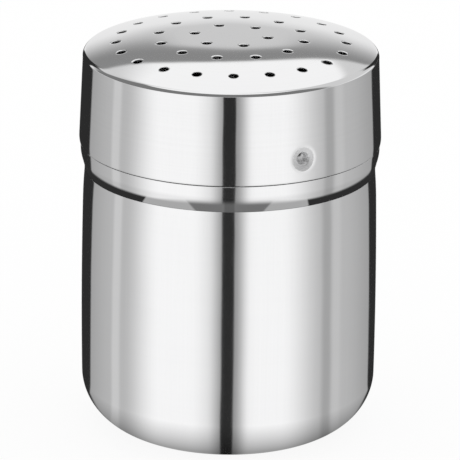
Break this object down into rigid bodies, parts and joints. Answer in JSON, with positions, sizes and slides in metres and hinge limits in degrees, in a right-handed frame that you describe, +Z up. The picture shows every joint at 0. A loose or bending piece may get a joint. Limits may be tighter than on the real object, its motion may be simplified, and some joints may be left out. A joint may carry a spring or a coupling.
{
  "type": "spice shaker",
  "caption": "Round steel shaker: a drawn can with a bead and a necked mouth, under a domed perforated lid that locks with pressed lugs in slots.",
  "frame": {"origin": "middle of the foot ring, on the surface that the can stands on", "axes": "+Z up along the axis that both pieces are turned about; the two lugs and the slots' entries lie at -Y and +Y"},
  "size_m": [0.071, 0.071, 0.0955],
  "materials": {
    "can_steel": "mirror polished stainless steel sheet with faint vertical drawing lines",
    "lid_steel": "mirror polished stainless steel sheet with faint turned polishing lines"
  },
  "bodies": {
    "can": {"shaker_can": "can_steel"},
    "lid": {"perforated_lid": "lid_steel"}
  },
  "joints": [
    {"name": "lid_lift", "type": "slide", "parent": "can", "child": "lid", "axis": [0, 0, 1], "range_m": [0, 0.06]}
  ]
}
